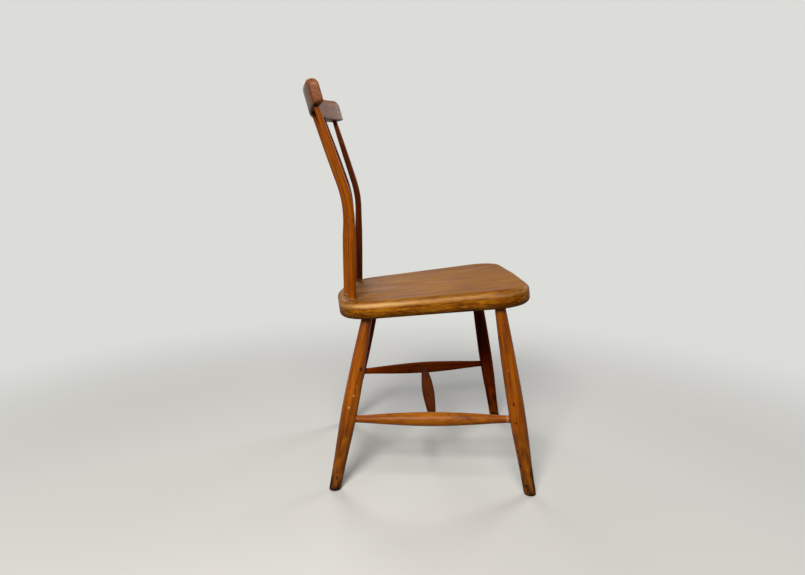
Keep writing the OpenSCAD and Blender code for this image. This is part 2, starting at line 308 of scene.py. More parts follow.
def add_node(tree, kind, links=None, inputs=None, **settings):
    node = tree.nodes.new(kind)
    for name, value in settings.items():
        setattr(node, name, value)
    for name, value in (inputs or {}).items():
        node.inputs[name].default_value = value
    for name, socket in (links or {}).items():
        tree.links.new(socket, node.inputs[name])
    return node


print("mid varnish brown in linear:", [round(v, 3) for v in linear("#8f4a10")])


# %% [markdown]
# ## Varnished wood
# The chair's wood is a pale hardwood such as beech or birch, coloured with an
# orange-brown stain and sealed with a brushed oil varnish that has darkened.
# To the eye that gives soft streaks along the grain, short dark pores, slow
# changes of tone, and a gloss that is broken where hands and shoes rubbed it.
# Everything reads the stored wood coordinates in millimetres, so a scale is one
# over a real size. Growth bands are 5 to 8 mm apart and run for a hand's length.
# Real pores are a fifth of a millimetre wide, too fine to show at this distance,
# so they are drawn 1.3 mm wide. Real varnish has an index of refraction near 1.5.
# It is set lower here, because the pale backdrop, mirrored at grazing angles,
# would turn the brown wood grey.

# %% Varnished wood, shared by the six finishes
# The bare-wood colour also paints a highlight on the seat's edge, and the dirt colour also paints
# shade
PORE_BROWN, BARE_WOOD_AND_HIGHLIGHT, DIRT_AND_SHADE_BROWN, BRUISE = "#3a1604", "#d6a468", "#2c1406", "#1f0a03"


def varnished_wood(name, dark, middle, light, worn_colour, band_mm=7.0,
                   run_mm=170.0, gloss=0.34, contrast=1.0, ior=1.22, coat=0.08):
    material = bpy.data.materials.new(name)
    material.use_nodes = True
    tree = material.node_tree
    tree.nodes.clear()
    wood = add_node(tree, "ShaderNodeAttribute", attribute_name="wood").outputs["Vector"]
    marks = {mark: add_node(tree, "ShaderNodeAttribute",
                            attribute_name=mark).outputs["Fac"] for mark in MARKS}

    # Growth bands, fibre streaks a third as wide, a slow change of tone, pores, and
    # patches for the rubbed places. Each has its size across and along the grain in
    # millimetres, its start, and the noise's detail, roughness and distortion
    patterns = {"bands": (band_mm, run_mm, (0, 0, 0), 3.0, 0.55, 0.5),
                "streaks": (band_mm * 0.33, run_mm * 0.4, (0, 0, 0), 4.0, 0.6, 0.2),
                "tone": (60, 120, (3.1, 1.7, 0.4), 2.0, 0.5, 0.0),
                "pores": (1.3, 14, (7.7, 2.2, 5.1), 1.0, 0.5, 0.0),
                "patches": (9, 22, (0.6, 9.2, 3.3), 5.0, 0.65, 0.0)}
    field = {}
    for pattern, (across, run, start, detail, fineness, bend) in patterns.items():
        place = add_node(tree, "ShaderNodeMapping", {"Vector": wood},
                         {"Scale": (1 / across, 1 / across, 1 / run), "Location": start})
        field[pattern] = add_node(tree, "ShaderNodeTexNoise",
                                  {"Vector": place.outputs["Vector"]},
                                  {"Scale": 1.0, "Detail": detail, "Roughness": fineness,
                                   "Distortion": bend}).outputs["Fac"]
    pores = add_node(tree, "ShaderNodeMapRange", {"Value": field["pores"]},
                     {"From Min": 0.60, "From Max": 0.72}).outputs[0]

    # Weigh the streaks, the bands and the slow tone together, then stain them
    grain = add_node(tree, "ShaderNodeMath", {0: field["streaks"]}, {1: 0.40},
                     operation="MULTIPLY").outputs[0]
    for pattern, weight in (("bands", 0.38), ("tone", 0.22)):
        grain = add_node(tree, "ShaderNodeMath", {0: field[pattern], 2: grain},
                         {1: weight}, operation="MULTIPLY_ADD").outputs[0]
    spread = 0.115 / contrast
    shade = add_node(tree, "ShaderNodeMapRange", {"Value": grain},
                     {"From Min": 0.5 - spread, "From Max": 0.5 + spread})
    stain = add_node(tree, "ShaderNodeValToRGB", {"Fac": shade.outputs[0]})
    stain.color_ramp.interpolation = "B_SPLINE"
    stain.color_ramp.elements[0].color = linear(dark)
    stain.color_ramp.elements[1].color = linear(light)
    stain.color_ramp.elements.new(0.5).color = linear(middle)

    # Rubbed places: thin varnish over paler wood, in patches of 5 to 20 mm
    rub_level = add_node(tree, "ShaderNodeMath", {0: marks["worn"], 1: field["patches"]},
                         operation="ADD")
    rubbed = add_node(tree, "ShaderNodeMapRange", {"Value": rub_level.outputs[0]},
                      {"From Min": 0.78, "From Max": 1.25}).outputs[0]
    faint_pores = add_node(tree, "ShaderNodeMath", {0: pores}, {1: 0.13},
                           operation="MULTIPLY").outputs[0]

    # Over the stain: pores, rubbed wood, chips that show bare wood, a painted highlight, dirt,
    # painted shade and dark nicks
    colour = stain.outputs["Color"]
    for amount, overlay in ((faint_pores, PORE_BROWN), (rubbed, worn_colour),
                            (marks["pale"], BARE_WOOD_AND_HIGHLIGHT), (marks["dirt_and_shade"], DIRT_AND_SHADE_BROWN),
                            (marks["nick"], BRUISE)):
        colour = add_node(tree, "ShaderNodeMix", {"Factor": amount, "A": colour},
                          {"B": linear(overlay)}, data_type="RGBA").outputs["Result"]

    # Gloss: even on good varnish, dull where it is rubbed, nicked, dirty or painted with shade
    dull = rubbed
    for mark in ("nick", "dirt_and_shade"):
        dull = add_node(tree, "ShaderNodeMath", {0: dull, 1: marks[mark]},
                        operation="ADD").outputs[0]
    dull = add_node(tree, "ShaderNodeMath", {0: dull}, {1: 0.26, 2: gloss},
                    operation="MULTIPLY_ADD", use_clamp=True)
    rough = add_node(tree, "ShaderNodeMath", {0: field["streaks"], 2: dull.outputs[0]},
                     {1: 0.10}, operation="MULTIPLY_ADD", use_clamp=True)

    # Relief: brushed varnish over fibres, about a tenth of a millimetre
    relief = field["streaks"]
    for height, share in ((pores, -0.5), (field["patches"], 0.6)):
        relief = add_node(tree, "ShaderNodeMath", {0: height, 2: relief}, {1: share},
                          operation="MULTIPLY_ADD").outputs[0]
    bump = add_node(tree, "ShaderNodeBump", {"Height": relief},
                    {"Strength": 0.4, "Distance": 0.0004})
    surface = add_node(tree, "ShaderNodeBsdfPrincipled",
                       {"Base Color": colour, "Roughness": rough.outputs[0],
                        "Normal": bump.outputs["Normal"]},
                       {"IOR": ior, "Specular IOR Level": 0.5, "Coat Weight": coat,
                        "Coat Roughness": 0.14, "Coat IOR": 1.3})
    add_node(tree, "ShaderNodeOutputMaterial", {"Surface": surface.outputs["BSDF"]})
    print(name, "has", len(tree.nodes), "nodes")
    return material


# %% The finishes
def stained_plank():
    # A wide soft-grained board: orange-brown varnish on the edge, where hands
    # polish it, and a duller yellow-brown on the top, where it wore thin
    return varnished_wood("stained_plank", "#4c2402", "#824808", "#a86c14",
                          "#8a5c20", band_mm=8.0, run_mm=230.0, gloss=0.34,
                          contrast=1.3, ior=1.11, coat=0.03)


def stained_turning():
    # Beech off the lathe: tight streaks, a thick orange varnish
    return varnished_wood("stained_turning", "#5a2400", "#854000", "#a55a02",
                          "#a86610", band_mm=6.0, run_mm=160.0, gloss=0.34)


def painted_shade_turning():
    # The same turned wood, darker and redder: painted shade for the left legs and the
    # left and cross stretchers, which stand away from the lamps in the seat's shade
    return varnished_wood("painted_shade_turning", "#4c1200", "#722400", "#923a00",
                          "#8e4608", band_mm=6.0, run_mm=160.0, gloss=0.42,
                          ior=1.05, coat=0.01)


def stained_rod():
    # Steam-bent rods of the same wood, less touched and so more even
    return varnished_wood("stained_rod", "#5c2700", "#853e00", "#a05602",
                          "#a56008", band_mm=5.0, run_mm=220.0, gloss=0.32,
                          contrast=0.9, ior=1.14, coat=0.04)


def painted_shade_rod():
    # Darker rods: painted shade for the middle and left sticks, away from the lamps
    return varnished_wood("painted_shade_rod", "#3e1400", "#5e2200", "#7a3400",
                          "#803c06", band_mm=5.0, run_mm=220.0, gloss=0.34,
                          contrast=0.9, ior=1.15, coat=0.04)


def stained_board():
    # A bent board, a little greyer: its varnish has gone dull with handling
    return varnished_wood("stained_board", "#4c2208", "#6e3a12", "#875020",
                          "#95643a", band_mm=7.0, run_mm=200.0, gloss=0.40,
                          contrast=0.9)


PLANK, BOARD = stained_plank(), stained_board()
TURNING, PAINTED_SHADE_TURNING = stained_turning(), painted_shade_turning()
ROD, PAINTED_SHADE_ROD = stained_rod(), painted_shade_rod()

# %% [markdown]
# ## The legs
# Each leg is turned from one blank, thickest a little below its middle, and slants
# outward from its socket under the seat. Its foot was sawn level with the floor
# after assembly, so the spun leg is placed first and then cut by the floor's
# plane with bisect_plane. The sawn rim is rounded by moving the lowest rings in,
# because years of scraping have worn it like a pencil end. The left legs take a
# darker, redder copy of the finish: painted shade for the side away from the lamps.

# %% Where the legs stand
def foot(side, end):
    spread = (front_socket_spread + 2 * FRONT_SPLAY if end < 0
              else rear_socket_spread + 2 * REAR_SPLAY)
    return Vector((side * spread / 2, end * foot_depth / 2, 0))


def socket(side, end):
    spread = front_socket_spread if end < 0 else rear_socket_spread
    y = end * socket_depth / 2 - (LEG_DRIFT if side > 0 and end > 0 else 0)
    return Vector((side * spread / 2, y, seat_under(y)))


def leg_at(side, end, height):
    low, high = foot(side, end), socket(side, end)
    return low + (high - low) * (height / high.z)


def leg_radius(s, length):
    if s <= LEG_SWELL:
        t = max(0.0, s) / LEG_SWELL
        return LEG_FOOT / 2 + (LEG_THICK - LEG_FOOT) / 2 * (1 - math.cos(math.pi * t)) / 2
    t = min(1.0, (s - LEG_SWELL) / (length - LEG_STRAIGHT - LEG_SWELL))
    return LEG_TOP / 2 + (LEG_THICK - LEG_TOP) / 2 * math.cos(math.pi / 2 * t)


print("front foot", foot(-1, -1)[:], "socket", [round(v, 1) for v in socket(-1, -1)])

# %% Build a leg
FOOT_ROUND = 4.5
# How far up a leg shoes scuff it, dirt sticks to it and a wet mop touches it
SCUFF_REACH, DIRT_REACH, MOP_REACH = 260, 190, 26
KNOWN_DENTS = {
    "leg_front_right": [(361, 32, 0.8, 5, 4, "nick", 0.95), (214, 87, 0.8, 6, 3.2, "nick", 0.9),
                        (171, 81, 0.6, 4, 3.2, "nick", 0.85), (105, 50, 0.9, 6, 4, "nick", 0.95),
                        (71, 54, 0.8, 5, 4, "nick", 0.9), (42, 26, 1.0, 7, 4.5, "nick", 0.95),
                        (24, 70, 0.8, 5, 5, "nick", 0.9)],
    "leg_rear_right": [(281, -89, 0.9, 8, 4.2, "nick", 0.95),
                       (221, -112, 0.5, 3.4, 2.4, "pale", 0.7),
                       (193, -130, 0.5, 4, 2.6, "pale", 0.7), (30, -120, 0.9, 7, 5, "nick", 0.8)],
}


def round_foot(bm, side, end):
    for vert in bm.verts:
        up = vert.co.z
        if up < FOOT_ROUND:
            gap = FOOT_ROUND - math.sqrt(max(0.0, FOOT_ROUND ** 2 - (FOOT_ROUND - up) ** 2))
            centre = leg_at(side, end, up)
            away = Vector((vert.co.x - centre.x, vert.co.y - centre.y, 0))
            if away.length > FOOT_ROUND:
                vert.co -= away.normalized() * gap * 0.8


def make_leg(name, side, end, seed):
    low, high = foot(side, end), socket(side, end)
    length = (high - low).length
    profile = [(0, -LEG_SPARE), (LEG_FOOT / 2, -LEG_SPARE)]
    profile += [(leg_radius(s, length), s)
                for s in stations(2 - LEG_SPARE, length + (LEG_TENON - 5), 1.6)]
    profile += [(LEG_TOP / 2 - 1, length + LEG_TENON), (0, length + LEG_TENON)]
    bm = turn(profile, LEG_SIDES)
    layers = mark_layers(bm)
    for vert in bm.verts:
        push_out(vert, waver(vert.co, 26, 0.35, seed) + waver(vert.co, 8, 0.10, seed + 5))
        x, y, z = vert.co
        vert[layers["wood"]] = grain_place(vert, (61, 23, 400), seed)
        vert[layers["worn"]] = 0.10 + 0.42 * max(0.0, 1 - z / SCUFF_REACH)
        # Dirt: a line at the floor, splashes above it, and a corner under the seat
        patch = 0.5 + 1.1 * noise.noise(Vector((x / 12, y / 12 + seed, z / 30)))
        vert[layers["dirt_and_shade"]] = (0.55 * max(0.0, 1 - z / MOP_REACH) ** 2
                                 + 1.35 * max(0.0, 1 - z / DIRT_REACH) * max(0.0, patch)
                                 + 0.5 * max(0.0, 1 - (length - z) / 7) ** 2)
    press_dents(bm, layers, KNOWN_DENTS.get(name, [])
                + small_dents(seed, 46, 4, 260, 1.5) + small_dents(seed + 50, 9, 200, length))
    move(bm, along(low, high))
    cut = bmesh.ops.bisect_plane(bm, geom=bm.verts[:] + bm.edges[:] + bm.faces[:],
                                 plane_co=(0, 0, 0), plane_no=(0, 0, 1), clear_inner=True)
    rim = [item for item in cut["geom_cut"] if isinstance(item, bmesh.types.BMEdge)]
    sole = bmesh.ops.contextual_create(bm, geom=rim)["faces"]
    round_foot(bm, side, end)
    bmesh.ops.poke(bm, faces=sole)
    # The left legs take the darker copy of the turned finish, as painted shade
    finish_piece(bm, "turned_" + name, name,
                 TURNING if side < 0 else PAINTED_SHADE_TURNING)


make_leg("leg_front_right", -1, -1, 1.0)
make_leg("leg_front_left", 1, -1, 2.0)
make_leg("leg_rear_right", -1, 1, 3.0)
make_leg("leg_rear_left", 1, 1, 4.0)

# %% [markdown]
# ## The stretchers
# Two side stretchers tie each front leg to the rear leg behind it, and a cross
# stretcher ties the two together, so that they read as an H from above. Each
# swells in the middle to leave wood round the socket there. The centre lines run
# between the legs' own centre lines at set heights.

# %% Where the stretchers run
def side_from(side):
    return leg_at(side, 1, SIDE_REAR_HEIGHT)


def side_to(side):
    return leg_at(side, -1, SIDE_FRONT_HEIGHT)


def side_middle(side):
    start, stop = side_from(side), side_to(side)
    return (start + stop) / 2 + (stop - start).normalized() * CROSS_FORWARD


# %% Build a stretcher
def make_stretcher(name, start, stop, hold, thick, end_size, seed, pale_end=0.0,
                   painted_shade=0.0):
    length = (stop - start).length
    first, last = hold + END_STRAIGHT, length - hold - END_STRAIGHT

    def radius_at(s):
        t = min(1.0, max(0.0, (s - first) / (last - first)))
        return end_size / 2 + (thick - end_size) / 2 * math.sin(math.pi * t) ** 1.2

    profile = [(0, END_GAP)]
    profile += [(radius_at(s), s) for s in stations(END_GAP, length - END_GAP, 1.8)]
    profile += [(0, length - END_GAP)]
    bm = turn(profile, STRETCHER_SIDES)
    layers = mark_layers(bm)
    for vert in bm.verts:
        push_out(vert, waver(vert.co, 22, 0.28, seed))
        s = vert.co.z
        vert[layers["wood"]] = grain_place(vert, (57, 31, 500), seed)
        vert[layers["worn"]] = 0.22 + 0.28 * math.sin(math.pi * s / length) ** 2
        inside = min(s, length - s) - hold
        # The dust amount paints shade evenly over the cross stretcher under the seat; the socket
        # term is a dark line at each joint
        vert[layers["dirt_and_shade"]] = painted_shade + 0.55 * max(0.0, 1 - abs(inside) / 5)
        # A pale collar where the front end has worked in its socket
        collar = max(0.0, 1 - abs(length - s - hold - 5) / 3.5)
        vert[layers["pale"]] = pale_end * collar
    press_dents(bm, layers, small_dents(seed + 20, 14, hold + 5, length - hold - 5))
    move(bm, along(start, stop))
    # The left and cross stretchers take the darker copy of the finish, as painted shade
    finish_piece(bm, "turned_" + name, name,
                 TURNING if name.endswith("right") else PAINTED_SHADE_TURNING)


for seed, side, side_name, pale_end in ((5.0, -1, "right", 0.45), (6.0, 1, "left", 0.0)):
    make_stretcher("side_stretcher_" + side_name, side_from(side), side_to(side),
                   LEG_THICK / 2, SIDE_THICK, SIDE_END, seed, pale_end)
# The cross stretcher's even darkening is painted shade from the seat above it
make_stretcher("cross_stretcher", side_middle(-1), side_middle(1), SIDE_THICK / 2,
               CROSS_THICK, CROSS_END, 7.0, painted_shade=0.62)


# %% [markdown]
# ## The back sticks
# A stick is turned straight, with a slight belly below the middle, then steamed
# and bent over a former so that its upper half leans back. The mesh follows the
# same order: spin it straight, note the grain, then roll it round the bend. Each
# stick aims at its own socket in the curved rail, so each bend has its own angle.

# %% Where the sticks go
def rail_point(x, up):
    ahead = RAIL_CURVE - math.sqrt((RAIL_CURVE + STICK_SET) ** 2 - x * x)
    y = up * math.sin(RAIL_LEAN) - ahead * math.cos(RAIL_LEAN)
    return Vector((x * math.cos(RAIL_TURN) + y * math.sin(RAIL_TURN),
                   rail_back + y * math.cos(RAIL_TURN) - x * math.sin(RAIL_TURN),
                   rail_low + ahead * math.sin(RAIL_LEAN) + up * math.cos(RAIL_LEAN)))


def stick_foot(i):
    x = -stick_half + 2 * stick_half * i / (STICK_COUNT - 1)
    y = stick_setback + ROW_SAG * (1 - (x / stick_half) ** 2)
    return Vector((x, y, seat_top(y)))


swell_height = SEAT_HEIGHT + SWELL_RISE
print("stick feet:", [[round(v, 1) for v in stick_foot(i)] for i in range(STICK_COUNT)])


# %% Build a stick
BACK_RUB = 640  # height at which a sitter's back rubs most


def make_stick(i, seed):
    name = f"back_stick_{i + 1}"
    base = stick_foot(i)
    bend_height = SEAT_HEIGHT + BEND_RISE + BEND_CLIMB * i / (STICK_COUNT - 1)
    goal = rail_point(base.x, RAIL_TENON / 2)
    reach = math.hypot(goal.x - base.x, goal.y - base.y)
    way = -math.atan2(goal.x - base.x, goal.y - base.y)
    a, b = BEND_RADIUS - reach, goal.z - bend_height
    bend = math.atan2(b, a) - math.acos(BEND_RADIUS / math.hypot(a, b))
    end_back = BEND_RADIUS * (1 - math.cos(bend))
    end_up = bend_height + BEND_RADIUS * math.sin(bend)
    upper = math.hypot(reach - end_back, goal.z - end_up)
    bend_end = bend_height + BEND_RADIUS * bend
    total = bend_end + upper + RAIL_TENON / 2

    def radius_at(s):
        if s < base.z + BASE_STRAIGHT:
            return STICK_BASE / 2
        if s < swell_height:
            t = (s - base.z - BASE_STRAIGHT) / (swell_height - base.z - BASE_STRAIGHT)
            return STICK_BASE / 2 + (STICK_THICK - STICK_BASE) / 2 * math.sin(math.pi / 2 * t)
        if s < bend_height:
            t = (s - swell_height) / (bend_height - swell_height)
            return STICK_BEND / 2 + (STICK_THICK - STICK_BEND) / 2 * (1 + math.cos(math.pi * t)) / 2
        if s < bend_end:
            return STICK_BEND / 2
        t = min(1.0, (s - bend_end) / (upper - RAIL_TENON / 2 - TOP_STRAIGHT))
        return STICK_TOP / 2 + (STICK_BEND - STICK_TOP) / 2 * math.cos(math.pi / 2 * t)

    low = base.z - STICK_TENON
    profile = [(0, low), (STICK_BASE / 2 - 1, low), (STICK_BASE / 2, low + 1)]
    profile += [(radius_at(s), s) for s in stations(low + 2, total - 2, 2.2)]
    profile += [(STICK_TOP / 2, total - 1), (STICK_TOP / 2 - 1, total), (0, total)]
    bm = turn(profile, STICK_SIDES)
    layers = mark_layers(bm)
    for vert in bm.verts:
        push_out(vert, waver(vert.co, 18, 0.22, seed))
        s = vert.co.z
        vert[layers["wood"]] = grain_place(vert, (41, 37, 300), seed)
        vert[layers["worn"]] = 0.10 + 0.12 * math.exp(-((s - BACK_RUB) / 60) ** 2)
        # A pale ring just above the seat, and dirt in the corners at both ends
        vert[layers["pale"]] = 0.5 * max(0.0, 1 - abs(s - base.z - 2.5) / 2.5)
        vert[layers["dirt_and_shade"]] = (0.6 * max(0.0, 1 - abs(s - base.z) / 5)
                                 + 0.5 * max(0.0, 1 - abs(total - RAIL_TENON - s) / 6))
    press_dents(bm, layers, small_dents(seed + 80, 8, 440, 820))
    for vert in bm.verts:
        x, y, s = vert.co
        if s <= bend_height:
            place = (x, y, s)
        elif s <= bend_end:
            turned = (s - bend_height) / BEND_RADIUS
            place = (x, BEND_RADIUS - (BEND_RADIUS - y) * math.cos(turned),
                     bend_height + (BEND_RADIUS - y) * math.sin(turned))
        else:
            past = s - bend_end
            place = (x, end_back + past * math.sin(bend) + y * math.cos(bend),
                     end_up + past * math.cos(bend) - y * math.sin(bend))
        vert.co = place
    move(bm, Matrix.Translation((base.x, base.y, 0)) @ Matrix.Rotation(way, 4, "Z"))
    # The middle and left sticks take the darker rods, as painted shade
    finish_piece(bm, "bent_" + name, name, ROD if i < 2 else PAINTED_SHADE_ROD)


for i in range(STICK_COUNT):
    make_stick(i, 10.0 + i)

# %% [markdown]
# ## The seat
# The seat is one thick plank, sawn to a rounded outline that is wider in front,
# with both rims rounded over by hand until almost nothing of the sawn edge was
# left. The outline is the skin stretched round six discs, as a string would lie
# round six pins. One loop of edges laid on it is extruded down the rounded edge
# ring by ring, and drawn in over both faces, so the edge is true geometry.

# %% The outline round six discs
def seat_discs():
    front = SEAT_REAR_WIDTH / 2
    rear = SEAT_REAR_WIDTH / 2 - REAR_BOW_EASE
    discs = [(0, front - SEAT_FRONT_BOW - SEAT_DEPTH / 2, front),
             (0, SEAT_DEPTH / 2 + SEAT_REAR_BOW - rear, rear)]
    for side in (-1, 1):
        discs.append((side * (SEAT_FRONT_WIDTH / 2 - SEAT_FRONT_CORNER),
                      SEAT_FRONT_CORNER - SEAT_DEPTH / 2, SEAT_FRONT_CORNER))
        discs.append((side * (SEAT_REAR_WIDTH / 2 - SEAT_REAR_CORNER),
                      SEAT_DEPTH / 2 - SEAT_REAR_CORNER, SEAT_REAR_CORNER))
    return discs


def outline(count):
    rough, looks = [], 1440
    for k in range(looks):
        out = Vector((math.cos(math.tau * k / looks), math.sin(math.tau * k / looks)))
        x, y, r = max(seat_discs(), key=lambda d: d[0] * out.x + d[1] * out.y + d[2])
        rough.append((Vector((x, y)) + r * out, out))
    rough.append(rough[0])
    lengths = [0.0]
    for (p, _), (q, _) in zip(rough, rough[1:]):
        lengths.append(lengths[-1] + (q - p).length)
    even, k = [], 0
    for n in range(count):
        want = lengths[-1] * n / count
        while lengths[k + 1] < want:
            k += 1
        t = (want - lengths[k]) / max(1e-9, lengths[k + 1] - lengths[k])
        even.append((rough[k][0].lerp(rough[k + 1][0], t),
                     rough[k][1].lerp(rough[k + 1][1], t).normalized()))
    return even


RIM = outline(460)  # about a point every 3 mm
print("outline spans", round(max(p.x for p, _ in RIM) * 2, 1), "mm wide and",
      round(max(p.y for p, _ in RIM) - min(p.y for p, _ in RIM), 1), "mm deep")


# %% The rings of the edge, from the top face round to the underside
def arc(x, y, radius, first, last, steps):
    # Points round (x, y), between two directions that are given in quarter turns
    turns = [math.pi / 2 * (first + (last - first) * k / steps) for k in range(steps + 1)]
    return [(x + radius * math.cos(a), y + radius * math.sin(a)) for a in turns]


def straight(start, stop, steps):
    # Points between two corners, without the corners
    return [(start[0] + (stop[0] - start[0]) * k / steps,
             start[1] + (stop[1] - start[1]) * k / steps) for k in range(1, steps)]


def edge_rings():
    over = arc(SEAT_TOP_ROUND, -SEAT_TOP_ROUND, SEAT_TOP_ROUND, 1, 2, 12)
    under = arc(SEAT_UNDER_ROUND, SEAT_UNDER_ROUND - SEAT_THICKNESS, SEAT_UNDER_ROUND, 2, 3, 12)
    return over + straight(over[-1], under[0], 7) + under


EDGE = edge_rings()
print("edge rings:", len(EDGE), "from", [round(v, 2) for v in EDGE[0]],
      "to", [round(v, 2) for v in EDGE[-1]])

# %% Build the seat
TOP_RINGS, UNDER_RINGS = 46, 24  # from the rim in to the middle of each face


def extrude_loop(bm, loop):
    # The vertices and the edges of the new ring, without the edges that lead to it
    made = bmesh.ops.extrude_edge_only(bm, edges=loop)["geom"]
    verts = [item for item in made if isinstance(item, bmesh.types.BMVert)]
    fresh = set(verts)
    return verts, [item for item in made if isinstance(item, bmesh.types.BMEdge)
                   and all(v in fresh for v in item.verts)]


def closed_loop(bm, verts):
    return [bm.edges.new((verts[k], verts[(k + 1) % len(verts)])) for k in range(len(verts))]


def make_seat():
    bm = bmesh.new()
    index = bm.verts.layers.int.new("rim_index")
    first = []
    for k, (point, out) in enumerate(RIM):
        vert = bm.verts.new((*(point - out * EDGE[0][0]), EDGE[0][1]))
        vert[index] = k
        first.append(vert)
    top_loop = closed_loop(bm, first)

    under_loop = top_loop
    for inset, z in EDGE[1:]:
        verts, under_loop = extrude_loop(bm, under_loop)
        for vert in verts:
            point, out = RIM[vert[index]]
            vert.co = (*(point - out * inset), z)

    for loop, inset, z, count in ((top_loop, EDGE[0][0], 0.0, TOP_RINGS),
                                  (under_loop, EDGE[-1][0], -SEAT_THICKNESS, UNDER_RINGS)):
        for k in range(1, count):
            verts, loop = extrude_loop(bm, loop)
            for vert in verts:
                point, out = RIM[vert[index]]
                vert.co = (*((point - out * inset) * (1 - k / count)), z)
        bmesh.ops.poke(bm, faces=bmesh.ops.contextual_create(bm, geom=loop)["faces"])
    return bm


# %% [markdown]
# ## The seat's wear, painted highlight and painted shade
# A seat wears where it is sat on and gripped. Its top has lost its thick varnish.
# The shoulder of its edge is rubbed pale and carries a painted highlight, most on
# the right side near the back. Painted shade darkens the lower edge and underside,
# and the top toward the back and the left side, over streaks of dirt along the grain.
# A short drying crack runs down the side, and knocks mark the rim.

# %% Wear the seat
# The pale band on the edge's shoulder is rubbed varnish and a painted highlight: its height, half
# width, and where the right side begins
SHOULDER, SHOULDER_HALF, RIGHT_SIDE = -10, 6.5, -120
# The crack's six cuts, then the knocks and two bare specks
SEAT_DENTS = [((-207, 123, z), 0.9, 3.4, "nick", 0.9) for z in (-7, -10, -13, -16, -19, -22)]
SEAT_DENTS += [((-203, 136, -17), 0.8, 6, "nick", 0.6), ((-230, -73, -29), 0.6, 6, "nick", 0.8),
               ((-231, -60, -31), 0.5, 5, "nick", 0.7), ((-160, 191, -25), 0.6, 5, "pale", 0.8),
               ((-215, 60, -34), 0.5, 6, "nick", 0.6), ((-232, -120, -9), 0.5, 5, "pale", 0.4),
               ((120, -222, -14), 0.7, 6, "nick", 0.7), ((215, 20, -20), 0.7, 6, "nick", 0.6)]


def rim_wear_and_highlight(x, y, z):
    # Rubbed varnish and a painted highlight on the shoulder, strongest on the right side near the
    # back and weaker toward the front
    shoulder = max(0.0, 1 - abs(z - SHOULDER) / SHOULDER_HALF)
    ragged = 1.0 + 0.4 * noise.noise(Vector((x / 14, y / 34, z / 5)))
    wear_and_highlight = 0.16
    if x < RIGHT_SIDE:
        wear_and_highlight += 1.0 * math.exp(-((y - 122) / 75) ** 2)
        wear_and_highlight += 0.26 * math.exp(-((y + 70) / 110) ** 2)
    return max(0.0, min(0.9, shoulder * ragged * wear_and_highlight))


def seat_dirt_and_shade(x, y, z, on_top):
    # Painted shade on the lower edge and the underside. On the top: streaks along the grain, of
    # dirt and of painted shade that grows toward the back and the left side
    streak = 0.55 + 1.1 * noise.noise(Vector((x / 13 + 5, y / 110, 2)))
    top_shade_and_dirt = (0.10 + 0.30 * max(0.0, (y - 10) / 190) + 0.12 * max(0.0, x / 200)) * on_top
    return 0.45 * max(0.0, min(1.0, (-z - 22) / 12)) + max(0.0, top_shade_and_dirt * streak)


def dress_seat(bm):
    layers = mark_layers(bm)
    for vert in bm.verts:
        x, y, z = vert.co
        vert[layers["wood"]] = (x + 900, z + 40, y + 2100)
        slow = noise.noise(Vector((x / 70, y / 90, z / 60 + 3)))
        fine = noise.noise(Vector((x / 16, y / 40, z / 16 + 9)))
        vert.co += Vector((0, 0, (0.35 * slow + 0.08 * fine) * (1 if z > -1 else 0.6)))
        if z < -0.01:
            outward = Vector((x, y, 0)).normalized()
            vert.co += outward * (0.35 * slow + 0.12 * fine - 0.25)
        on_top = max(0.0, min(1.0, (z + 9) / 6))
        vert[layers["worn"]] = 0.12 + 0.36 * on_top + (0.10 + 0.22 * on_top) * slow
        vert[layers["dirt_and_shade"]] = seat_dirt_and_shade(x, y, z, on_top)
        vert[layers["pale"]] = rim_wear_and_highlight(x, y, z)
    core = Vector((0, 0, -SEAT_THICKNESS / 2))
    for vert in bm.verts:
        for place, depth, reach, kind, strength in SEAT_DENTS:
            away = (vert.co - Vector(place)).length / reach
            if away < 1:
                bowl = (1 - away * away) ** 2
                vert.co += (core - vert.co).normalized() * depth * bowl
                vert[layers[kind]] = max(vert[layers[kind]], strength * bowl)
    move(bm, Matrix.Translation((0, 0, SEAT_HEIGHT)) @ Matrix.Rotation(-SEAT_TILT, 4, "X"))
    finish_piece(bm, "plank_seat", "seat", PLANK)


dress_seat(make_seat())

# %% [markdown]
# ## The crest rail
# The rail is a short board bent to a shallow curve that follows a back. Its top
# was rounded over, more in front than behind, and its upper corners were cut to
# an easy radius. One section of the board is extruded station by station along
# its length. Near each end the section is lowered from the top to draw the
# corner, and the last few millimetres are drawn in to soften the end's rim.

# %% The rail's section and corners
def rail_section():
    half, high = RAIL_THICK / 2, RAIL_HEIGHT
    front, back, low = RAIL_FRONT_EDGE, RAIL_BACK_EDGE, RAIL_LOW_EDGE
    front_top = arc(front - half, high - front, front, 2, 1, 12)
    back_top = arc(half - back, high - back, back, 1, 0, 8)
    back_low = arc(half - low, low, low, 0, -1, 4)
    front_low = arc(low - half, low, low, -1, -2, 4)
    return (front_top + back_top + straight(back_top[-1], back_low[0], 12)
            + back_low + straight(back_low[-1], front_low[0], 4)
            + front_low + straight(front_low[-1], front_top[0], 10))


def corner_drop(distance, radius):
    if distance >= radius:
        return 0.0
    return radius - math.sqrt(max(0.0, radius ** 2 - (radius - distance) ** 2))


SECTION = rail_section()
print("rail section has", len(SECTION), "points")

# %% Build the rail
END_ROUND = 3.5


def rail_stations():
    near = [END_ROUND * (1 - math.cos(math.pi / 2 * k / 6)) for k in range(7)]
    near += stations(END_ROUND + 0.8, 20, 1.0)
    middle = stations(22, 2 * rail_half - 22, 2.6)
    return near + middle + [2 * rail_half - d for d in reversed(near)]


